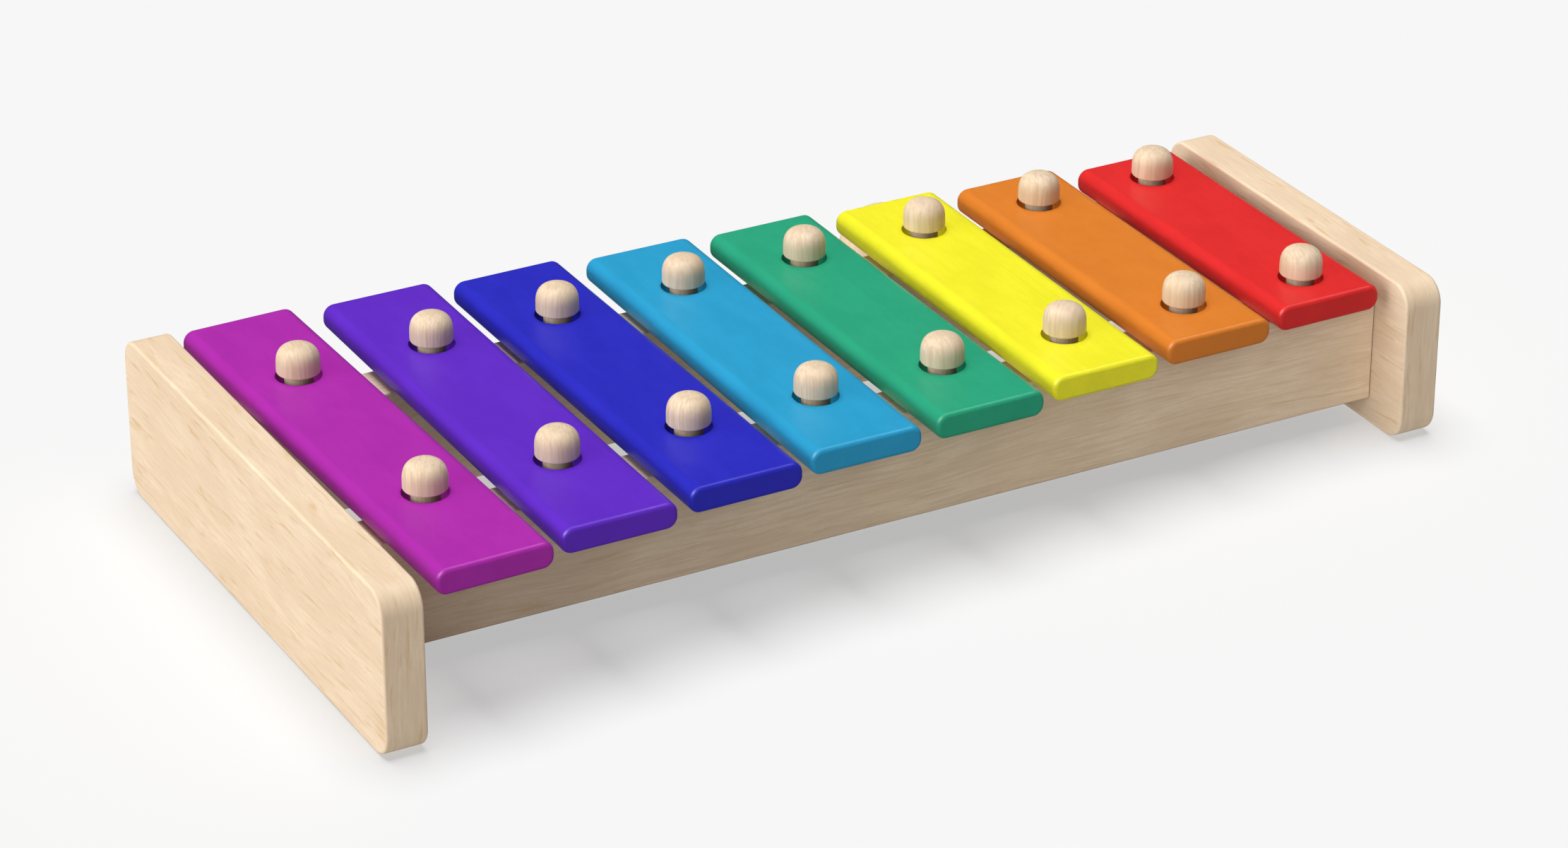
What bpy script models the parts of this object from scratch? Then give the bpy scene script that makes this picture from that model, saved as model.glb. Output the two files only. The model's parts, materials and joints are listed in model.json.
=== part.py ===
"""Toy xylophone: two wooden end boards joined by two rails, eight loose painted bars on pegs.

The length runs along X, from the long low bar on the left to the short high bar on the right.
The player sits on the -Y side, and a mallet lies on the table behind the toy. The origin is on
the table, under the middle of the box that holds both.
"""

from math import asin, cos, pi, radians, sin

import bmesh
import bpy
from mathutils import Matrix, Vector

MM = 0.001

# Touching pieces keep this gap.
GAP = 0.3 * MM

# End boards: they stand on their long edges and carry everything else.
TOY_LENGTH = 340.0 * MM
BOARD_THICKNESS = 12.0 * MM
BOARD_HEIGHT = 48.2 * MM
BOARD_DEPTHS = {"left": 171.0 * MM, "right": 124.0 * MM}
BOARD_CORNER = 7.0 * MM
BOARD_EDGE = 1.1 * MM

# Rails: two boards on edge between the end boards.
RAIL_THICKNESS = 14.9 * MM
RAIL_BOTTOM = 7.8 * MM
RAIL_TOP = 40.3 * MM
RAIL_SPREAD = 78.3 * MM
RAIL_EDGE = 0.6 * MM

# Bars: the long edges are well rounded, the ends only a little.
BAR_PITCH = 39.06 * MM
BAR_WIDTH = 33.75 * MM
BAR_THICKNESS = 7.7 * MM
BAR_SIDE_ROUNDING = 3.35 * MM
BAR_END_ROUNDING = 1.3 * MM
BAR_HOLE_RADIUS = 6.5 * MM

# Pegs: a round shank glued into the rail, under a domed head that is just smaller than the
# hole in the bar, so that the bar lifts off over it.
PEG_SHANK_RADIUS = 4.0 * MM
PEG_HEAD_RADIUS = 6.1 * MM
PEG_HEAD_HEIGHT = 8.1 * MM
PEG_HEAD_EDGE = 0.5 * MM
PEG_DOME_START = 2.0 * MM
PEG_DOME_SQUARENESS = 2.9
PEG_HEAD_CLEARANCE = 1.2 * MM
PEG_DEPTH = 16.0 * MM

# Mallet: a ball on a round stick, lying on the table behind the rear rail. The ball's middle
# is placed from the middle of the toy, and the stick points left and a little inward.
MALLET_RADIUS = 13.3 * MM
MALLET_RIGHT = 80.5 * MM
MALLET_BEHIND = 100.3 * MM
MALLET_TURN = 10.0
STICK_RADIUS = 3.0 * MM
STICK_REACH = 140.0 * MM
STICK_IN_HEAD = 16.0 * MM
STICK_END_ROUNDING = 1.0 * MM

# Hidden dowels: two at each end of each rail.
DOWEL_RADIUS = 3.0 * MM
DOWEL_IN_BOARD = 8.0 * MM
DOWEL_IN_RAIL = 14.0 * MM
DOWEL_SPACING = 16.0 * MM
DOWEL_CHAMFER = 0.6 * MM

# Each bar: node name, paint, length, and how its pair of peg holes was drilled: how far off
# the even spacing along X and Y, and how far turned about the vertical.
BARS = [
    ("bar_1_magenta", (0.440, 0.026, 0.429), 159.7 * MM, 0.0 * MM, -0.2 * MM, 1.1),
    ("bar_2_violet", (0.133, 0.026, 0.578), 152.0 * MM, 0.2 * MM, 0.2 * MM, -0.1),
    ("bar_3_blue", (0.028, 0.026, 0.527), 144.1 * MM, 0.0 * MM, 0.3 * MM, 0.2),
    ("bar_4_cyan", (0.027, 0.366, 0.645), 136.3 * MM, -0.1 * MM, -0.1 * MM, -0.5),
    ("bar_5_green", (0.030, 0.402, 0.216), 131.6 * MM, -0.1 * MM, -0.3 * MM, -0.1),
    ("bar_6_yellow", (0.930, 0.888, 0.021), 124.0 * MM, 0.3 * MM, 0.1 * MM, -0.4),
    ("bar_7_orange", (0.753, 0.235, 0.032), 116.3 * MM, 0.3 * MM, 0.3 * MM, -0.1),
    ("bar_8_red", (0.776, 0.032, 0.032), 108.2 * MM, 0.0 * MM, -0.4 * MM, 0.0),
]
BIRCH = (0.870, 0.680, 0.450)

BOARD_X = TOY_LENGTH / 2 - BOARD_THICKNESS / 2
RAIL_END_X = TOY_LENGTH / 2 - BOARD_THICKNESS - GAP
RAIL_HEIGHT = RAIL_TOP - RAIL_BOTTOM
RAIL_MIDDLE_Z = (RAIL_TOP + RAIL_BOTTOM) / 2

# The toy stands in front of the origin by half of what the mallet adds behind it.
TOY_Y = (max(BOARD_DEPTHS.values()) / 2 - MALLET_BEHIND - MALLET_RADIUS) / 2
RAIL_SIDES = {"front": -RAIL_SPREAD / 2, "rear": RAIL_SPREAD / 2}
DOWEL_LEVELS = {"lower": RAIL_MIDDLE_Z - DOWEL_SPACING / 2, "upper": RAIL_MIDDLE_Z + DOWEL_SPACING / 2}
BAR_BOTTOM = RAIL_TOP + GAP
BAR_TOP = BAR_BOTTOM + BAR_THICKNESS
PEG_HEAD_BOTTOM = BAR_TOP + PEG_HEAD_CLEARANCE
PEG_FOOT = RAIL_TOP - PEG_DEPTH

ROUND_STEPS = 16
HOLE_STEPS = 24
BALL_STEPS = 24
CORNER_STEPS = 5
SMOOTH_BELOW = radians(40)


def clear_scene():
    for old in list(bpy.data.objects):
        bpy.data.objects.remove(old)


def paint(name, colour, roughness):
    material = bpy.data.materials.new(name)
    material.use_nodes = True
    shader = material.node_tree.nodes["Principled BSDF"]
    shader.inputs["Base Color"].default_value = (*colour, 1.0)
    shader.inputs["Roughness"].default_value = roughness
    material.diffuse_color = (*colour, 1.0)
    return material


def finish_object(name, shape, material):
    """Turn a bmesh into a named object with smooth round faces."""
    bmesh.ops.recalc_face_normals(shape, faces=shape.faces)
    mesh = bpy.data.meshes.new(name)
    shape.to_mesh(mesh)
    shape.free()
    mesh.shade_smooth()
    mesh.set_sharp_from_angle(angle=SMOOTH_BELOW)
    if material:
        mesh.materials.append(material)
    made = bpy.data.objects.new(name, mesh)
    bpy.context.scene.collection.objects.link(made)
    return made


def block(size, rounded_axis, radius, steps):
    """A box whose four edges along one axis are rounded."""
    shape = bmesh.new()
    bmesh.ops.create_cube(shape, size=1.0, matrix=Matrix.Diagonal((*size, 1.0)))
    along = [
        edge
        for edge in shape.edges
        if abs((edge.verts[0].co - edge.verts[1].co)[rounded_axis]) > 0.5 * size[rounded_axis]
    ]
    bmesh.ops.bevel(
        shape,
        geom=along,
        offset=radius,
        offset_type="OFFSET",
        segments=steps,
        profile=0.5,
        affect="EDGES",
    )
    return shape


def soften_edges(target, width, steps):
    """Round the remaining square edges."""
    bevel = target.modifiers.new("soft edges", "BEVEL")
    bevel.limit_method = "ANGLE"
    bevel.angle_limit = radians(60)
    bevel.width = width
    bevel.segments = steps


def turned(profile, steps):
    """A solid of revolution about Z from (radius, height) points that start and end on the axis."""
    shape = bmesh.new()
    points = [shape.verts.new((radius, 0.0, height)) for radius, height in profile]
    line = [shape.edges.new(pair) for pair in zip(points, points[1:])]
    bmesh.ops.spin(
        shape,
        geom=points + line,
        cent=(0.0, 0.0, 0.0),
        axis=(0.0, 0.0, 1.0),
        angle=2 * pi,
        steps=steps,
    )
    bmesh.ops.remove_doubles(shape, verts=shape.verts, dist=1e-6)
    return shape


def cylinders(places, radius, depth, steps):
    """One cutter mesh of round pins, each centred on a matrix in places."""
    shape = bmesh.new()
    for place in places:
        bmesh.ops.create_cone(
            shape,
            cap_ends=True,
            segments=steps,
            radius1=radius,
            radius2=radius,
            depth=depth,
            matrix=place,
        )
    return shape


def drill(target, name, places, radius, depth, steps):
    """Cut round holes into the target."""
    cutter = finish_object(name, cylinders(places, radius, depth, steps), None)
    cutter.hide_render = True
    cutter.display_type = "WIRE"
    cut = target.modifiers.new(name, "BOOLEAN")
    cut.operation = "DIFFERENCE"
    cut.solver = "EXACT"
    cut.object = cutter


def bar_place(index):
    """The pose of one bar's middle, at the height of its underside."""
    _, _, _, shift_x, shift_y, turn = BARS[index]
    even_x = (index - (len(BARS) - 1) / 2) * BAR_PITCH
    spot = Matrix.Translation((even_x + shift_x, TOY_Y + shift_y, BAR_BOTTOM))
    return spot @ Matrix.Rotation(radians(turn), 4, "Z")


def peg_spot(index, side):
    """Where one of a bar's two pegs stands, on its rail's top."""
    spot = bar_place(index) @ Vector((0.0, RAIL_SIDES[side], 0.0))
    return Vector((spot.x, spot.y, RAIL_TOP))


def dowel_place(end, side, level):
    """The middle of one dowel, lying along X across the joint of a board and a rail."""
    sign = -1 if end == "left" else 1
    inner_face = TOY_LENGTH / 2 - BOARD_THICKNESS
    middle_x = sign * (inner_face + (DOWEL_IN_BOARD - DOWEL_IN_RAIL) / 2)
    spot = Matrix.Translation((middle_x, TOY_Y + RAIL_SIDES[side], DOWEL_LEVELS[level]))
    return spot @ Matrix.Rotation(pi / 2, 4, "Y")


def make_end_board(end, material):
    size = (BOARD_THICKNESS, BOARD_DEPTHS[end], BOARD_HEIGHT)
    board = finish_object(f"end_board_{end}", block(size, 0, BOARD_CORNER, CORNER_STEPS), material)
    sign = -1 if end == "left" else 1
    board.location = (sign * BOARD_X, TOY_Y, BOARD_HEIGHT / 2)
    soften_edges(board, BOARD_EDGE, 2)
    places = [dowel_place(end, side, level) for side in RAIL_SIDES for level in DOWEL_LEVELS]
    depth = DOWEL_IN_BOARD + DOWEL_IN_RAIL + 2 * GAP
    drill(board, f"{end}_dowel_holes", places, DOWEL_RADIUS + GAP, depth, ROUND_STEPS)


def make_rail(side, material):
    size = (2 * RAIL_END_X, RAIL_THICKNESS, RAIL_HEIGHT)
    rail = finish_object(f"rail_{side}", block(size, 0, RAIL_EDGE, 2), material)
    rail.location = (0.0, TOY_Y + RAIL_SIDES[side], RAIL_MIDDLE_Z)

    spots = [peg_spot(index, side) for index in range(len(BARS))]
    peg_holes = [Matrix.Translation(spot) for spot in spots]
    drill(rail, f"{side}_peg_holes", peg_holes, PEG_SHANK_RADIUS + GAP, 2 * (PEG_DEPTH + GAP), ROUND_STEPS)

    ends = [dowel_place(end, side, level) for end in BOARD_DEPTHS for level in DOWEL_LEVELS]
    depth = DOWEL_IN_BOARD + DOWEL_IN_RAIL + 2 * GAP
    drill(rail, f"{side}_dowel_holes", ends, DOWEL_RADIUS + GAP, depth, ROUND_STEPS)


def make_dowel(end, side, level, material):
    half = (DOWEL_IN_BOARD + DOWEL_IN_RAIL) / 2
    inner = DOWEL_RADIUS - DOWEL_CHAMFER
    profile = [
        (0.0, -half),
        (inner, -half),
        (DOWEL_RADIUS, -half + DOWEL_CHAMFER),
        (DOWEL_RADIUS, half - DOWEL_CHAMFER),
        (inner, half),
        (0.0, half),
    ]
    dowel = finish_object(f"dowel_{end}_{side}_{level}", turned(profile, ROUND_STEPS), material)
    dowel.matrix_world = dowel_place(end, side, level)


def peg_profile():
    """The peg's half outline, from the foot of the shank up to the top of the dome.

    Heights are measured from the top of the rail.
    """
    foot = PEG_FOOT - RAIL_TOP
    under = PEG_HEAD_BOTTOM - RAIL_TOP
    dome_base = under + PEG_DOME_START
    dome_height = PEG_HEAD_HEIGHT - PEG_DOME_START
    outline = [(0.0, foot), (PEG_SHANK_RADIUS, foot), (PEG_SHANK_RADIUS, under)]
    outline += [(PEG_HEAD_RADIUS - PEG_HEAD_EDGE, under), (PEG_HEAD_RADIUS, under + PEG_HEAD_EDGE)]
    dome_steps = 7
    power = 2 / PEG_DOME_SQUARENESS
    for step in range(dome_steps):
        angle = pi / 2 * step / dome_steps
        radius = PEG_HEAD_RADIUS * cos(angle) ** power
        outline.append((radius, dome_base + dome_height * sin(angle) ** power))
    outline.append((0.0, dome_base + dome_height))
    return outline


def make_peg(index, side, material):
    peg = finish_object(f"peg_{index + 1}_{side}", turned(peg_profile(), ROUND_STEPS), material)
    peg.location = peg_spot(index, side)


def make_bar(index):
    name, colour, length, _, _, _ = BARS[index]
    material = paint(f"{name}_paint", colour, 0.45)
    size = (BAR_WIDTH, length, BAR_THICKNESS)
    shape = block(size, 1, BAR_SIDE_ROUNDING, CORNER_STEPS)
    bmesh.ops.translate(shape, verts=shape.verts, vec=(0.0, 0.0, BAR_THICKNESS / 2))
    bar = finish_object(name, shape, material)
    bar.matrix_world = bar_place(index)
    soften_edges(bar, BAR_END_ROUNDING, 2)
    holes = [
        bar_place(index) @ Matrix.Translation((0.0, RAIL_SIDES[side], BAR_THICKNESS / 2))
        for side in RAIL_SIDES
    ]
    drill(bar, f"{name}_holes", holes, BAR_HOLE_RADIUS, 3 * BAR_THICKNESS, HOLE_STEPS)


def mallet_place():
    """The pose of the ball's middle, with +Z along the stick, whose far end rests on the table."""
    slope = asin((MALLET_RADIUS - STICK_RADIUS) / STICK_REACH)
    spot = Matrix.Translation((MALLET_RIGHT, TOY_Y + MALLET_BEHIND, MALLET_RADIUS))
    heading = Matrix.Rotation(pi + radians(MALLET_TURN), 4, "Z")
    return spot @ heading @ Matrix.Rotation(pi / 2 + slope, 4, "Y")


def make_mallet(material):
    place = mallet_place()
    foot = MALLET_RADIUS - STICK_IN_HEAD

    rings = BALL_STEPS // 2
    angles = [pi * ring / rings for ring in range(1, rings)]
    ball = [(MALLET_RADIUS * sin(angle), -MALLET_RADIUS * cos(angle)) for angle in angles]
    outline = [(0.0, -MALLET_RADIUS), *ball, (0.0, MALLET_RADIUS)]
    head = finish_object("mallet_head", turned(outline, BALL_STEPS), material)
    head.matrix_world = place
    hole_depth = STICK_IN_HEAD + GAP
    hole = place @ Matrix.Translation((0.0, 0.0, foot - GAP + hole_depth))
    drill(head, "mallet_hole", [hole], STICK_RADIUS + GAP, 2 * hole_depth, ROUND_STEPS)

    inner = STICK_RADIUS - STICK_END_ROUNDING
    profile = [
        (0.0, foot),
        (inner, foot),
        (STICK_RADIUS, foot + STICK_END_ROUNDING),
        (STICK_RADIUS, STICK_REACH - STICK_END_ROUNDING),
        (inner, STICK_REACH),
        (0.0, STICK_REACH),
    ]
    stick = finish_object("mallet_stick", turned(profile, ROUND_STEPS), material)
    stick.matrix_world = place


def main():
    clear_scene()
    birch = paint("birch", BIRCH, 0.6)
    for end in BOARD_DEPTHS:
        make_end_board(end, birch)
    for side in RAIL_SIDES:
        make_rail(side, birch)
    for end in BOARD_DEPTHS:
        for side in RAIL_SIDES:
            for level in DOWEL_LEVELS:
                make_dowel(end, side, level, birch)
    for index in range(len(BARS)):
        make_bar(index)
        for side in RAIL_SIDES:
            make_peg(index, side, birch)
    make_mallet(birch)


main()
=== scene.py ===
"""The looks of a toy xylophone and its mallet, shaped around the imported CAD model.

Lengths are in metres. The textures have coordinates of their own, in millimetres: first along
the grain, then across the growth layers' faces, then through the layers.
"""

import json
from itertools import count
from math import atan2, cos, pi, radians, sin
from typing import NamedTuple

import bmesh
import bpy
from mathutils import Matrix, Vector

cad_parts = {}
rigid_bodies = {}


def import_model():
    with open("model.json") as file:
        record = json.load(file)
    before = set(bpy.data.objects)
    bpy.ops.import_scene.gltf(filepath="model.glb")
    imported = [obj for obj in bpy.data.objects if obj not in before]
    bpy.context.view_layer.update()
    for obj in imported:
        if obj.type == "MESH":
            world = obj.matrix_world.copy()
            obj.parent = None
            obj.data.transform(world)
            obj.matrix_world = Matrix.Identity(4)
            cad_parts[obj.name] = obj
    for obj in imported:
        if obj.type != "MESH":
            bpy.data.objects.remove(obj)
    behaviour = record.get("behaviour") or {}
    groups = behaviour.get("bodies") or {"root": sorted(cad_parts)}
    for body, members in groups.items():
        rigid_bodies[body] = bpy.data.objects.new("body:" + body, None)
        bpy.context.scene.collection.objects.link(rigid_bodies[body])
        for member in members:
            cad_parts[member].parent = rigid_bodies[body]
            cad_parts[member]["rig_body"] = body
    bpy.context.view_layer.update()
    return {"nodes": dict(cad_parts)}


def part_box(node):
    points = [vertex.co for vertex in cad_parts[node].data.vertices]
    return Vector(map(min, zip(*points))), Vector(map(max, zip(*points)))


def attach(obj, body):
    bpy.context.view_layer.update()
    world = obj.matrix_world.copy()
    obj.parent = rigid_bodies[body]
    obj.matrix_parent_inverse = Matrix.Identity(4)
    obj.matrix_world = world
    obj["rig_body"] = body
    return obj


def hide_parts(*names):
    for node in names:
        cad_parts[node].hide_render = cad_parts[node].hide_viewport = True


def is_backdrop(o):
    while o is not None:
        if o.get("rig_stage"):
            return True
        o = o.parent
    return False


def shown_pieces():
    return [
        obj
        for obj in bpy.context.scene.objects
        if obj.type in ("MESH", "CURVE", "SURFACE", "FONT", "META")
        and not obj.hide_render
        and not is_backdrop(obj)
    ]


class Noise(NamedTuple):
    """Noise, with its waves per millimetre along, across and through the grain."""

    rate: tuple
    detail: float
    roughness: float = 0.5
    distortion: float = 0.0


class Mark(NamedTuple):
    """A mark on a surface: its noise, the values where it starts and is full, its strength."""

    noise: Noise
    start: float
    full: float
    amount: float = 1.0


class Wood(NamedTuple):
    """A kind of wood: its linear colours, its finest lines, and how strongly dashes show."""

    light: tuple
    warm: tuple
    dark: tuple
    lines: Mark
    dash_amount: float


class Lamp(NamedTuple):
    """A distant lamp: the way to it, its strength, its width in degrees, and what it does."""

    way: tuple
    strength: float
    width: float
    lights: str
    seen_diffuse: bool = True
    seen_glossy: bool = False
    casts_shadows: bool = True


class Pin(NamedTuple):
    """A round pin that cuts a hole: where its middle is, its radius and its length."""

    place: Matrix
    radius: float
    length: float


MM = 0.001
X_AXIS = Vector((1.0, 0.0, 0.0))
Y_AXIS = Vector((0.0, 1.0, 0.0))
Z_AXIS = Vector((0.0, 0.0, 1.0))
WHITE = (1.0, 1.0, 1.0, 1.0)

# The shapes that the CAD boxes don't give.
BOARD_CORNER = 7.0 * MM
BOARD_EDGE = 0.8 * MM
RAIL_EDGE = 0.6 * MM
BAR_SIDE_ROUNDING = 3.35 * MM
BAR_END_ROUNDING = 1.3 * MM
BAR_HOLE_RADIUS = 6.5 * MM
PEG_SHANK_RADIUS = 4.0 * MM
PEG_HEAD_HEIGHT = 8.1 * MM
PEG_HEAD_EDGE = 0.5 * MM
PEG_DOME_START = 2.0 * MM
PEG_DOME_SQUARENESS = 2.9
DOWEL_CHAMFER = 0.6 * MM
STICK_RADIUS = 3.0 * MM
STICK_IN_HEAD = 16.0 * MM
STICK_END_ROUNDING = 1.0 * MM

# The space between a pin and its hole, and between the mallet's fine shape and the CAD's.
GAP = 0.3 * MM
TRIM = 0.05 * MM

# A bar's hole is cut with a pin this many times as long as the bar is thick.
PIN_THROUGH_BAR = 3

# How finely curves are divided.
CORNER_STEPS = 14
EDGE_STEPS = 5
RIM_STEPS = 4
DOME_STEPS = 20
ROUND_STEPS = 64
THIN_ROUND_STEPS = 32

# Edges that turn by less than the first are shaded smooth; the second is where rounding starts.
SMOOTH_BELOW = radians(32)
ROUND_ABOVE = radians(60)

# Where the camera stands: it looks at a point measured from the middle of the toy's base.
CAMERA_TURN = radians(28.644)
CAMERA_RISE = radians(27.003)
CAMERA_DISTANCE = 1395.4 * MM
CAMERA_AIM = Vector((-9.19, -1.58, 20.12)) * MM
CAMERA_LENS = 114.76
SENSOR_WIDTH = 36.0
FARTHEST_SEEN = 100.0

# Light: an even dim room, and lamps that each light one set of things.
ROOM_STRENGTH = 0.06
LAMPS = {
    "floor overhead": Lamp((0.0, 0.08, 1.0), 4.14, 44.0, "floor"),
    "wood overhead": Lamp((0.0, 0.05, 1.0), 3.00, 42.0, "wood", seen_glossy=True),
    "wood left": Lamp((-0.95, 0.0, 0.3), 3.05, 60.0, "wood"),
    "bars overhead": Lamp((0.0, 0.05, 1.0), 3.17, 42.0, "bars"),
    "bars left": Lamp((-0.95, 0.0, 0.25), 1.10, 50.0, "bars"),
    "bars glint": Lamp(
        (-0.75, -0.35, 0.65), 9.00, 45.0, "bars", seen_diffuse=False, seen_glossy=True
    ),
    "bars edge glint": Lamp(
        (0.43, -0.02, 0.9), 1.00, 20.0, "bars", seen_diffuse=False, seen_glossy=True
    ),
    "bars fill": Lamp((-0.65, -0.55, 0.3), 1.25, 90.0, "bars", casts_shadows=False),
    "front": Lamp((-0.8, -0.6, 0.45), 0.45, 70.0, "toy"),
    "rail front": Lamp((-0.6, -0.75, 0.38), 1.10, 55.0, "front rail"),
}
FLOOR_COLOUR = (0.33, 0.33, 0.33)
FLOOR_GLOW = 0.475
FLOOR_SIZE = 60.0

# How far apart in the wood two pieces' textures start, in millimetres.
WOOD_STEP = Vector((173.0, 61.0, 37.0))

# How the grain's lines drift, and how many millimetres along, across and through.
DRIFT = Noise((0.014, 0.03, 0.03), 1.0)
DRIFT_REACH = (0.0, 9.0, 5.0)

# How the pegs' grain is turned about their axis: the middle of the range and its half width.
PEG_GRAIN_TURN = radians(-28.0)
PEG_GRAIN_SPREAD = radians(25.0)

# Roughness goes from its low to its high value between these values of the noise.
ROUGHNESS_RANGE = (0.3, 0.7)

# Wood, from broad clouds to the small dark flecks.
CLOUDS = Mark(Noise((0.035, 0.13, 0.2), 3.0, 0.55, 0.3), 0.36, 0.64, 0.5)
STREAKS = Mark(Noise((0.06, 0.7, 0.8), 4.0, 0.6, 0.4), 0.45, 0.7, 0.5)
SPECKLE = Mark(Noise((0.9, 1.1, 1.3), 3.0, 0.65), 0.4, 0.7, 0.22)
DASHES = Mark(Noise((0.065, 0.65, 0.65), 3.0, 0.55, 0.3), 0.56, 0.72)
FLECKS = Mark(Noise((0.12, 0.9, 0.8), 1.0, 0.5, 0.3), 0.78, 0.86)
FLECK_COLOUR = (0.36, 0.25, 0.16)
FLECKS_TO_DASHES = 0.5
DASH_DEPTH = 0.5
WOOD_ROUGHNESS = (0.48, 0.6)
WOOD_RELIEF = 0.006 * MM
WOOD_SPECULAR = 0.3
BIRCH = Wood(
    light=(0.735, 0.585, 0.425),
    warm=(0.635, 0.475, 0.315),
    dark=(0.56, 0.36, 0.17),
    lines=Mark(Noise((0.09, 1.5, 1.5), 3.0, 0.6, 0.1), 0.42, 0.68, 0.6),
    dash_amount=0.6,
)
# The rails' wood: partly its own tone, partly painted light. Its colours are lighter than the
# boards' birch to stand in for light the rails lack.
RAIL_BIRCH_PAINTED_LIGHTER = Wood(
    light=(0.79, 0.63, 0.455),
    warm=(0.665, 0.50, 0.335),
    dark=(0.60, 0.40, 0.20),
    lines=Mark(Noise((0.05, 1.2, 1.2), 3.0, 0.6, 0.1), 0.42, 0.68, 0.8),
    dash_amount=0.4,
)
# The pegs' wood: its grain runs along the peg. Its colours are darker than the boards' birch, partly
# its own tone and partly painted shade.
PEG_BIRCH_PAINTED_DARKER = Wood(
    light=(0.70, 0.56, 0.41),
    warm=(0.575, 0.43, 0.285),
    dark=(0.47, 0.32, 0.185),
    lines=Mark(Noise((0.04, 0.4, 1.3), 3.0, 0.6, 0.1), 0.42, 0.68, 1.0),
    dash_amount=0.15,
)

# Paint, brushed on so that it is slightly uneven, and each bar's linear colour.
PAINT_WAVES = Noise((0.045, 0.12, 0.12), 2.0)
PAINT_CLOUDS = Mark(Noise((0.05, 0.09, 0.09), 3.0, 0.55), 0.35, 0.65)
PAINT_STREAKS = Mark(Noise((0.03, 0.5, 0.5), 3.0, 0.6, 0.3), 0.45, 0.7, 0.25)
PAINT_SPECKLE = Mark(Noise((1.8, 1.8, 1.8), 3.0, 0.7), 0.35, 0.75, 0.3)
SPECKLE_HEIGHT = 0.02
DEEP_TONE = 0.88
PALE_TONE = 1.06
PALE_LIFT = 0.003
PAINT_ROUGHNESS = (0.32, 0.42)
PAINT_RELIEF = 0.08 * MM
PAINT_SPECULAR = 0.20
PAINTS = {
    "bar_1_magenta": (0.335, 0.018, 0.320),
    "bar_2_violet": (0.095, 0.018, 0.440),
    "bar_3_blue": (0.018, 0.018, 0.405),
    "bar_4_cyan": (0.018, 0.272, 0.480),
    "bar_5_green": (0.018, 0.295, 0.160),
    "bar_6_yellow": (0.720, 0.675, 0.019),
    "bar_7_orange": (0.580, 0.172, 0.019),
    "bar_8_red": (0.595, 0.019, 0.019),
}


# ---------------------------------------------------------------- materials


class Shading:
    """One material's node tree, with short ways to add to it."""

    def __init__(self, name):
        self.material = bpy.data.materials.new(name)
        self.material.use_nodes = True
        self.tree = self.material.node_tree
        self.shader = self.tree.nodes["Principled BSDF"]
        stored = self.add("ShaderNodeAttribute", attribute_name="grain")
        self.grain = self.wander(stored.outputs["Vector"])

    def add(self, kind, **settings):
        made = self.tree.nodes.new(kind)
        for name, value in settings.items():
            setattr(made, name, value)
        return made

    def feed(self, socket, value):
        """Set a socket to a number or colour, or link it to another socket."""
        if isinstance(value, bpy.types.NodeSocket):
            self.tree.links.new(value, socket)
        else:
            socket.default_value = value

    def vectors(self, operation, first, second):
        """Combine two vectors, the first a socket."""
        combined = self.add("ShaderNodeVectorMath", operation=operation)
        self.feed(combined.inputs[0], first)
        self.feed(combined.inputs[1], second)
        return combined.outputs["Vector"]

    def numbers(self, operation, first, second):
        """Combine two numbers, the first a socket."""
        combined = self.add("ShaderNodeMath", operation=operation)
        self.feed(combined.inputs[0], first)
        self.feed(combined.inputs[1], second)
        return combined.outputs["Value"]

    def noise_at(self, spot, plan):
        """A noise node that is read at a texture coordinate."""
        noise = self.add("ShaderNodeTexNoise")
        self.feed(noise.inputs["Vector"], self.vectors("MULTIPLY", spot, plan.rate))
        noise.inputs["Scale"].default_value = 1.0
        noise.inputs["Detail"].default_value = plan.detail
        noise.inputs["Roughness"].default_value = plan.roughness
        noise.inputs["Distortion"].default_value = plan.distortion
        return noise

    def wander(self, straight):
        """Grain lines that drift a little from side to side."""
        drift = self.noise_at(straight, DRIFT).outputs["Color"]
        offset = self.vectors("MULTIPLY", drift, DRIFT_REACH)
        return self.vectors("ADD", straight, offset)

    def noise(self, plan):
        return self.noise_at(self.grain, plan).outputs["Fac"]

    def spread(self, value, low, high, to_low, to_high):
        """Map low..high to to_low..to_high, smoothly and with flat ends."""
        mapped = self.add("ShaderNodeMapRange", interpolation_type="SMOOTHSTEP")
        self.feed(mapped.inputs["Value"], value)
        mapped.inputs["From Min"].default_value = low
        mapped.inputs["From Max"].default_value = high
        mapped.inputs["To Min"].default_value = to_low
        mapped.inputs["To Max"].default_value = to_high
        return mapped.outputs["Result"]

    def mark(self, plan, noise=None):
        """How strongly a mark shows at each spot. Noise that is already made can be given."""
        if noise is None:
            noise = self.noise(plan.noise)
        return self.spread(noise, plan.start, plan.full, 0.0, plan.amount)

    def mix(self, amount, first, second):
        """Blend two colours by an amount that is a socket."""
        mixed = self.add("ShaderNodeMix", data_type="RGBA")
        self.feed(mixed.inputs["Factor"], amount)
        colours = [socket for socket in mixed.inputs if socket.type == "RGBA"]
        for socket, colour in zip(colours, (first, second)):
            is_socket = isinstance(colour, bpy.types.NodeSocket)
            self.feed(socket, colour if is_socket else (*colour, 1.0))
        return next(socket for socket in mixed.outputs if socket.type == "RGBA")

    def finish(self, colour, roughness, height, depth, specular):
        """Wire up the shader. Height is a socket, and depth is how many metres a height of 1 is."""
        self.feed(self.shader.inputs["Base Color"], colour)
        self.feed(self.shader.inputs["Roughness"], roughness)
        self.shader.inputs["Specular IOR Level"].default_value = specular
        bump = self.add("ShaderNodeBump")
        bump.inputs["Strength"].default_value = 1.0
        bump.inputs["Distance"].default_value = depth
        self.feed(bump.inputs["Height"], height)
        self.feed(self.shader.inputs["Normal"], bump.outputs["Normal"])
        return self.material


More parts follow.
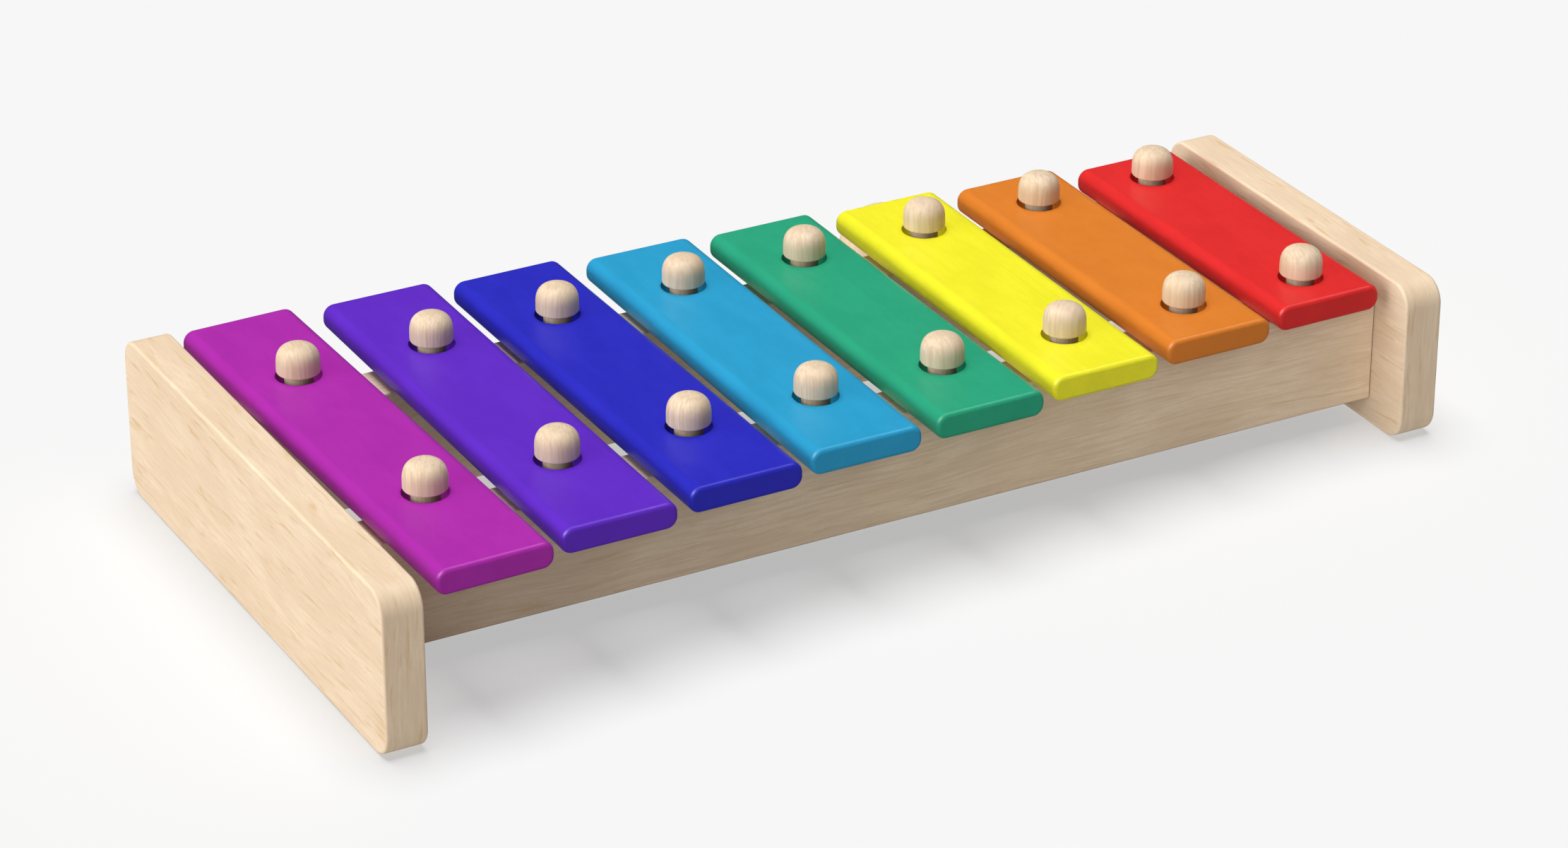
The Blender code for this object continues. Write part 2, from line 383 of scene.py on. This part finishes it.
def wood_material(name, kind):
    """Pale close-grained wood."""
    wood = Shading(name)
    lines = wood.noise(kind.lines.noise)
    dashes = wood.mark(DASHES)
    dash_amount = wood.numbers("MULTIPLY", dashes, kind.dash_amount)
    fleck_amount = wood.numbers("MULTIPLY", wood.mark(FLECKS), FLECKS_TO_DASHES * kind.dash_amount)

    colour = wood.mix(wood.mark(CLOUDS), kind.light, kind.warm)
    colour = wood.mix(wood.mark(STREAKS), colour, kind.warm)
    colour = wood.mix(wood.mark(kind.lines, lines), colour, kind.warm)
    colour = wood.mix(wood.mark(SPECKLE), colour, kind.warm)
    colour = wood.mix(dash_amount, colour, kind.dark)
    colour = wood.mix(fleck_amount, colour, FLECK_COLOUR)

    dips = wood.numbers("MULTIPLY", dashes, DASH_DEPTH)
    relief = wood.numbers("SUBTRACT", lines, dips)
    roughness = wood.spread(lines, *ROUGHNESS_RANGE, *WOOD_ROUGHNESS)
    return wood.finish(colour, roughness, relief, WOOD_RELIEF, WOOD_SPECULAR)


def paint_material(name, colour):
    """Satin paint with faint brush marks."""
    paint = Shading(name)
    cloudy = paint.noise(PAINT_CLOUDS.noise)
    speckle = paint.noise(PAINT_SPECKLE.noise)

    deep = tuple(DEEP_TONE * channel for channel in colour)
    pale = tuple(min(1.0, PALE_TONE * channel + PALE_LIFT) for channel in colour)
    tone = paint.mix(paint.mark(PAINT_CLOUDS, cloudy), pale, colour)
    tone = paint.mix(paint.mark(PAINT_STREAKS), tone, deep)
    tone = paint.mix(paint.mark(PAINT_SPECKLE, speckle), tone, deep)

    bumps = paint.numbers("MULTIPLY", speckle, SPECKLE_HEIGHT)
    relief = paint.numbers("ADD", paint.noise(PAINT_WAVES), bumps)
    roughness = paint.spread(cloudy, *ROUGHNESS_RANGE, *PAINT_ROUGHNESS)
    return paint.finish(tone, roughness, relief, PAINT_RELIEF, PAINT_SPECULAR)


# ---------------------------------------------------------------- shapes


def block(sides, rounded_axis, radius, steps):
    """A box whose four edges along one axis are rounded."""
    shape = bmesh.new()
    bmesh.ops.create_cube(shape, size=1.0, matrix=Matrix.Diagonal((*sides, 1.0)))
    along = [
        edge
        for edge in shape.edges
        if abs((edge.verts[0].co - edge.verts[1].co)[rounded_axis]) > 0.5 * sides[rounded_axis]
    ]
    bmesh.ops.bevel(
        shape,
        geom=along,
        offset=radius,
        offset_type="OFFSET",
        segments=steps,
        profile=0.5,
        affect="EDGES",
    )
    return shape


def turned(profile, steps):
    """A solid of revolution about Z from (radius, height) points that start and end on the axis."""
    shape = bmesh.new()
    points = [shape.verts.new((radius, 0.0, height)) for radius, height in profile]
    line = [shape.edges.new(pair) for pair in zip(points, points[1:])]
    bmesh.ops.spin(
        shape,
        geom=points + line,
        cent=(0.0, 0.0, 0.0),
        axis=(0.0, 0.0, 1.0),
        angle=2 * pi,
        steps=steps,
    )
    bmesh.ops.remove_doubles(shape, verts=shape.verts, dist=1e-7)
    return shape


def raw_object(name, shape):
    bmesh.ops.recalc_face_normals(shape, faces=shape.faces)
    mesh = bpy.data.meshes.new(name)
    shape.to_mesh(mesh)
    shape.free()
    made = bpy.data.objects.new(name, mesh)
    bpy.context.scene.collection.objects.link(made)
    return made


def apply_modifiers(piece):
    graph = bpy.context.evaluated_depsgraph_get()
    piece.data = bpy.data.meshes.new_from_object(piece.evaluated_get(graph))
    piece.modifiers.clear()


def soften_edges(piece, width, steps):
    """Round the remaining square edges."""
    bevel = piece.modifiers.new("soft edges", "BEVEL")
    bevel.limit_method = "ANGLE"
    bevel.angle_limit = ROUND_ABOVE
    bevel.width = width
    bevel.segments = steps


def drill(piece, pins):
    """Cut pins out of the piece, and leave no modifier on it."""
    shape = bmesh.new()
    for pin in pins:
        bmesh.ops.create_cone(
            shape,
            cap_ends=True,
            segments=ROUND_STEPS,
            radius1=pin.radius,
            radius2=pin.radius,
            depth=pin.length,
            matrix=pin.place,
        )
    cutter = raw_object("drill", shape)
    cut = piece.modifiers.new("holes", "BOOLEAN")
    cut.operation = "DIFFERENCE"
    cut.solver = "EXACT"
    cut.object = cutter
    apply_modifiers(piece)
    bpy.data.objects.remove(cutter)


def smooth_shading(piece):
    """Shade round faces smooth and keep flat faces flat."""
    piece.data.shade_smooth()
    piece.data.set_sharp_from_angle(angle=SMOOTH_BELOW)
    weighted = piece.modifiers.new("flat faces stay flat", "WEIGHTED_NORMAL")
    weighted.keep_sharp = True
    apply_modifiers(piece)


def lay_grain(piece, along, across, through, number):
    """Store texture coordinates, in millimetres, in the piece's own axes.

    Each number starts at a different spot in the wood.
    """
    start = WOOD_STEP * number
    axes = [Vector(axis) / MM for axis in (along, across, through)]
    grain = piece.data.attributes.new("grain", "FLOAT_VECTOR", "CORNER")
    for loop, stored in zip(piece.data.loops, grain.data):
        spot = piece.data.vertices[loop.vertex_index].co
        stored.vector = start + Vector([spot.dot(axis) for axis in axes])


def lay_board_grain(board, number):
    """Store a board's texture coordinates.

    Its grain runs along Y, and on its narrow faces it goes on over the round corners and down
    the ends.
    """
    lay_grain(board, Y_AXIS, Z_AXIS, X_AXIS, number)
    start = WOOD_STEP * (number + 0.5)
    half_length = max(vertex.co.y for vertex in board.data.vertices) - BOARD_CORNER
    half_height = max(vertex.co.z for vertex in board.data.vertices) - BOARD_CORNER
    grain = board.data.attributes["grain"]
    for face in board.data.polygons:
        if abs(face.normal.x) > cos(pi / 4) or face.normal.z < -cos(pi / 4):
            continue
        for corner in face.loop_indices:
            spot = board.data.vertices[board.data.loops[corner].vertex_index].co
            beyond = abs(spot.y) - half_length
            above = spot.z - half_height
            distance = abs(spot.y)
            if beyond > 0.0 and above > 0.0:
                distance = half_length + BOARD_CORNER * atan2(beyond, above)
            elif beyond > 0.0:
                distance = half_length + BOARD_CORNER * pi / 2 - above
            distance = distance if spot.y > 0.0 else -distance
            grain.data[corner].vector = start + Vector((distance, spot.x, 0.0)) / MM


def stand_for(piece, node, material):
    """Dress a finished piece, and let it take the CAD node's place on the node's body."""
    bpy.context.view_layer.update()
    piece.data.transform(piece.matrix_world)
    piece.matrix_world = Matrix.Identity(4)
    piece.data.materials.clear()
    piece.data.materials.append(material)
    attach(piece, frame["nodes"][node]["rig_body"])
    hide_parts(node)


# ---------------------------------------------------------------- where the CAD has things


def middle(node):
    low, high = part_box(node)
    return (low + high) / 2


def size(node):
    low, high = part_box(node)
    return high - low


# ---------------------------------------------------------------- the pieces


# Numbers for the pieces, so that no two look alike.
piece_numbers = count(1)


def make_dowels(material):
    """The hidden dowels. Returns the pins that cut their holes."""
    pins = []
    for node in frame["nodes"]:
        if not node.startswith("dowel_"):
            continue
        length, width, _ = size(node)
        half = length / 2
        radius = width / 2
        inner = radius - DOWEL_CHAMFER
        profile = [
            (0.0, -half),
            (inner, -half),
            (radius, -half + DOWEL_CHAMFER),
            (radius, half - DOWEL_CHAMFER),
            (inner, half),
            (0.0, half),
        ]
        place = Matrix.Translation(middle(node)) @ Matrix.Rotation(pi / 2, 4, "Y")
        dowel = raw_object(f"{node}.fine", turned(profile, THIN_ROUND_STEPS))
        smooth_shading(dowel)
        lay_grain(dowel, Z_AXIS, X_AXIS, Y_AXIS, next(piece_numbers))
        dowel.matrix_world = place
        stand_for(dowel, node, material)
        pins.append(Pin(place, radius + GAP, length + 2 * GAP))
    return pins


def make_board(node, dowel_pins, material):
    shape = block(size(node), 0, BOARD_CORNER, CORNER_STEPS)
    board = raw_object(f"{node}.fine", shape)
    board.location = middle(node)
    soften_edges(board, BOARD_EDGE, EDGE_STEPS)
    drill(board, dowel_pins)
    smooth_shading(board)
    lay_board_grain(board, next(piece_numbers))
    stand_for(board, node, material)


def make_rail(node, side, dowel_pins, material):
    shape = block(size(node), 0, RAIL_EDGE, EDGE_STEPS)
    rail = raw_object(f"{node}.fine", shape)
    rail.location = middle(node)
    drill(rail, dowel_pins)

    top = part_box(node)[1].z
    pegs = [peg for peg in frame["nodes"] if peg.startswith("peg_") and peg.endswith(side)]
    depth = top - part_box(pegs[0])[0].z
    peg_pins = []
    for peg in pegs:
        spot = middle(peg)
        place = Matrix.Translation((spot.x, spot.y, top))
        peg_pins.append(Pin(place, PEG_SHANK_RADIUS + GAP, 2 * (depth + GAP)))
    drill(rail, peg_pins)
    smooth_shading(rail)
    lay_grain(rail, X_AXIS, Z_AXIS, Y_AXIS, next(piece_numbers))
    stand_for(rail, node, material)


def peg_profile(foot, radius, top):
    """The peg's half outline, from the foot of the shank up to the top of the dome."""
    under = top - PEG_HEAD_HEIGHT
    dome_base = under + PEG_DOME_START
    dome_height = PEG_HEAD_HEIGHT - PEG_DOME_START
    outline = [(0.0, foot), (PEG_SHANK_RADIUS, foot), (PEG_SHANK_RADIUS, under)]
    for step in range(RIM_STEPS + 1):
        angle = pi / 2 * step / RIM_STEPS
        inwards = PEG_HEAD_EDGE * (1 - sin(angle))
        upwards = PEG_HEAD_EDGE * (1 - cos(angle))
        outline.append((radius - inwards, under + upwards))
    power = 2 / PEG_DOME_SQUARENESS
    for step in range(DOME_STEPS):
        angle = pi / 2 * step / DOME_STEPS
        height = dome_height * sin(angle) ** power
        outline.append((radius * cos(angle) ** power, dome_base + height))
    outline.append((0.0, dome_base + dome_height))
    return outline


def make_peg(node, material):
    low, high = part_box(node)
    spot = middle(node)
    shape = turned(peg_profile(low.z, (high.x - low.x) / 2, high.z), ROUND_STEPS)
    peg = raw_object(f"{node}.fine", shape)
    smooth_shading(peg)
    number = next(piece_numbers)
    turn = Matrix.Rotation(PEG_GRAIN_TURN + PEG_GRAIN_SPREAD * sin(number), 3, "Z")
    lay_grain(peg, Z_AXIS, turn @ Y_AXIS, turn @ X_AXIS, number)
    peg.location = (spot.x, spot.y, 0.0)
    stand_for(peg, node, material)


def make_bar(node):
    """A bar lies along the line between its two pegs. Its box gives its width and length."""
    number = node.split("_")[1]
    front = middle(f"peg_{number}_front")
    rear = middle(f"peg_{number}_rear")
    line = rear - front
    turn = -atan2(line.x, line.y)
    spread_x, spread_y, thickness = size(node)
    tilt = abs(turn)
    width = (spread_x * cos(tilt) - spread_y * sin(tilt)) / cos(2 * tilt)
    length = (spread_y * cos(tilt) - spread_x * sin(tilt)) / cos(2 * tilt)

    shape = block((width, length, thickness), 1, BAR_SIDE_ROUNDING, CORNER_STEPS)
    bar = raw_object(f"{node}.fine", shape)
    soften_edges(bar, BAR_END_ROUNDING, EDGE_STEPS)
    pin_length = PIN_THROUGH_BAR * thickness
    half_line = line.length / 2
    places = [Matrix.Translation((0.0, side * half_line, 0.0)) for side in (-1, 1)]
    drill(bar, [Pin(place, BAR_HOLE_RADIUS, pin_length) for place in places])
    smooth_shading(bar)
    lay_grain(bar, Y_AXIS, X_AXIS, Z_AXIS, next(piece_numbers))
    centre = (front + rear) / 2
    centre.z = middle(node).z
    bar.matrix_world = Matrix.Translation(centre) @ Matrix.Rotation(turn, 4, "Z")
    colour_name = node.split("_")[2]
    material = paint_material(f"{colour_name} paint", PAINTS[node])
    stand_for(bar, node, material)


def make_mallet(material):
    """The ball on its stick. The stick's box gives its heading, and its far end is lower."""
    ball = middle("mallet_head")
    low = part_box("mallet_stick")[0]
    radius = (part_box("mallet_head")[1].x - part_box("mallet_head")[0].x) / 2 - TRIM
    near_far_end = Vector((low.x + STICK_RADIUS / 2, low.y + STICK_RADIUS, STICK_RADIUS + TRIM))
    line = near_far_end - ball
    heading = line.to_track_quat("Z", "Y").to_matrix().to_4x4()
    place = Matrix.Translation(ball) @ heading

    rings = THIN_ROUND_STEPS
    angles = [pi * ring / rings for ring in range(1, rings)]
    arc = [(radius * sin(angle), -radius * cos(angle)) for angle in angles]
    head = raw_object("mallet_head.fine", turned([(0.0, -radius), *arc, (0.0, radius)], ROUND_STEPS))
    on_surface = Matrix.Translation((0.0, 0.0, radius))
    drill(head, [Pin(on_surface, STICK_RADIUS + GAP, 2 * (STICK_IN_HEAD + GAP))])
    smooth_shading(head)
    lay_grain(head, Z_AXIS, X_AXIS, Y_AXIS, next(piece_numbers))
    head.matrix_world = place
    stand_for(head, "mallet_head", material)

    foot = radius - STICK_IN_HEAD
    end = (ball.x - low.x) / (abs(line.x) / line.length)
    inner = STICK_RADIUS - STICK_END_ROUNDING
    profile = [(0.0, foot), (inner, foot), (STICK_RADIUS, foot + STICK_END_ROUNDING)]
    for step in range(EDGE_STEPS + 1):
        angle = pi / 2 * step / EDGE_STEPS
        outwards = STICK_END_ROUNDING * cos(angle)
        rise = STICK_END_ROUNDING * (sin(angle) - 1)
        profile.append((inner + outwards, end + rise))
    profile.append((0.0, end))
    stick = raw_object("mallet_stick.fine", turned(profile, THIN_ROUND_STEPS))
    smooth_shading(stick)
    lay_grain(stick, Z_AXIS, X_AXIS, Y_AXIS, next(piece_numbers))
    stick.matrix_world = place
    stand_for(stick, "mallet_stick", material)


# ---------------------------------------------------------------- the studio


def make_floor():
    half = FLOOR_SIZE / 2
    corners = [(-half, -half, 0.0), (half, -half, 0.0), (half, half, 0.0), (-half, half, 0.0)]
    mesh = bpy.data.meshes.new("floor")
    mesh.from_pydata(corners, [], [(0, 1, 2, 3)])
    floor = bpy.data.objects.new("floor", mesh)
    bpy.context.scene.collection.objects.link(floor)
    paper = bpy.data.materials.new("pale floor")
    paper.use_nodes = True
    shader = paper.node_tree.nodes["Principled BSDF"]
    shader.inputs["Base Color"].default_value = (*FLOOR_COLOUR, 1.0)
    shader.inputs["Roughness"].default_value = 1.0
    shader.inputs["Specular IOR Level"].default_value = 0.0
    shader.inputs["Emission Color"].default_value = WHITE
    shader.inputs["Emission Strength"].default_value = FLOOR_GLOW
    mesh.materials.append(paper)
    floor.visible_glossy = False
    floor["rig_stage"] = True
    return floor


def collection_of(name, members):
    made = bpy.data.collections.new(name)
    for member in members:
        made.objects.link(member)
    return made


def make_lights(floor):
    """The room and the lamps. The floor's own glow leaves out the bars and the front rail."""
    room = bpy.data.worlds.new("room")
    room.use_nodes = True
    room.node_tree.nodes["Background"].inputs["Color"].default_value = WHITE
    room.node_tree.nodes["Background"].inputs["Strength"].default_value = ROOM_STRENGTH
    bpy.context.scene.world = room
    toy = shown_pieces()
    bars = [piece for piece in toy if piece.name.startswith("bar_")]
    wood = [piece for piece in toy if piece not in bars]
    front_rail = [piece for piece in toy if piece.name.startswith("rail_front")]
    glowed_on = [piece for piece in wood if piece not in front_rail]
    lit = {
        "floor": collection_of("studio floor", [floor]),
        "toy": collection_of("toy", toy),
        "bars": collection_of("bars", bars),
        "wood": collection_of("wood", wood),
        "front rail": collection_of("front rail", front_rail),
    }
    floor.light_linking.receiver_collection = collection_of("lit by the floor", [floor, *glowed_on])
    for name, plan in LAMPS.items():
        lamp = bpy.data.lights.new(name, "SUN")
        lamp.energy = plan.strength
        lamp.angle = radians(plan.width)
        lamp.use_shadow = plan.casts_shadows
        lamp.cycles.use_multiple_importance_sampling = plan.casts_shadows
        holder = bpy.data.objects.new(name, lamp)
        holder.rotation_euler = Vector(plan.way).to_track_quat("Z", "Y").to_euler()
        holder.light_linking.receiver_collection = lit[plan.lights]
        holder.visible_diffuse = plan.seen_diffuse
        holder.visible_glossy = plan.seen_glossy
        bpy.context.scene.collection.objects.link(holder)


def make_camera():
    lens = bpy.data.cameras.new("camera")
    lens.sensor_width = SENSOR_WIDTH
    lens.lens = CAMERA_LENS
    lens.clip_end = FARTHEST_SEEN
    camera = bpy.data.objects.new("camera", lens)
    base = (middle("end_board_left") + middle("end_board_right")) / 2
    base.z = 0.0
    aim = base + CAMERA_AIM
    level = cos(CAMERA_RISE)
    way = Vector((-sin(CAMERA_TURN) * level, -cos(CAMERA_TURN) * level, sin(CAMERA_RISE)))
    camera.location = aim + CAMERA_DISTANCE * way
    camera.rotation_euler = way.to_track_quat("Z", "Y").to_euler()
    bpy.context.scene.collection.objects.link(camera)
    bpy.context.scene.camera = camera


def main():
    birch = wood_material("birch", BIRCH)
    # The rails' birch is painted lighter, as painted light.
    rail_birch_painted_lighter = wood_material("rail birch painted lighter", RAIL_BIRCH_PAINTED_LIGHTER)
    # The pegs' birch is painted darker, partly as painted shade.
    peg_birch_painted_darker = wood_material("peg birch painted darker", PEG_BIRCH_PAINTED_DARKER)
    pins = make_dowels(birch)
    for end, sign in (("left", -1), ("right", 1)):
        near = [pin for pin in pins if pin.place.translation.x * sign > 0]
        make_board(f"end_board_{end}", near, birch)
    for side in ("front", "rear"):
        rail_y = middle(f"rail_{side}").y
        near = [pin for pin in pins if abs(pin.place.translation.y - rail_y) < MM]
        make_rail(f"rail_{side}", side, near, rail_birch_painted_lighter)
    for node in frame["nodes"]:
        if node.startswith("peg_"):
            make_peg(node, peg_birch_painted_darker)
    for node in PAINTS:
        make_bar(node)
    make_mallet(birch)
    make_lights(make_floor())
    make_camera()
    bpy.context.scene.view_settings.view_transform = "Standard"


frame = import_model()
main()
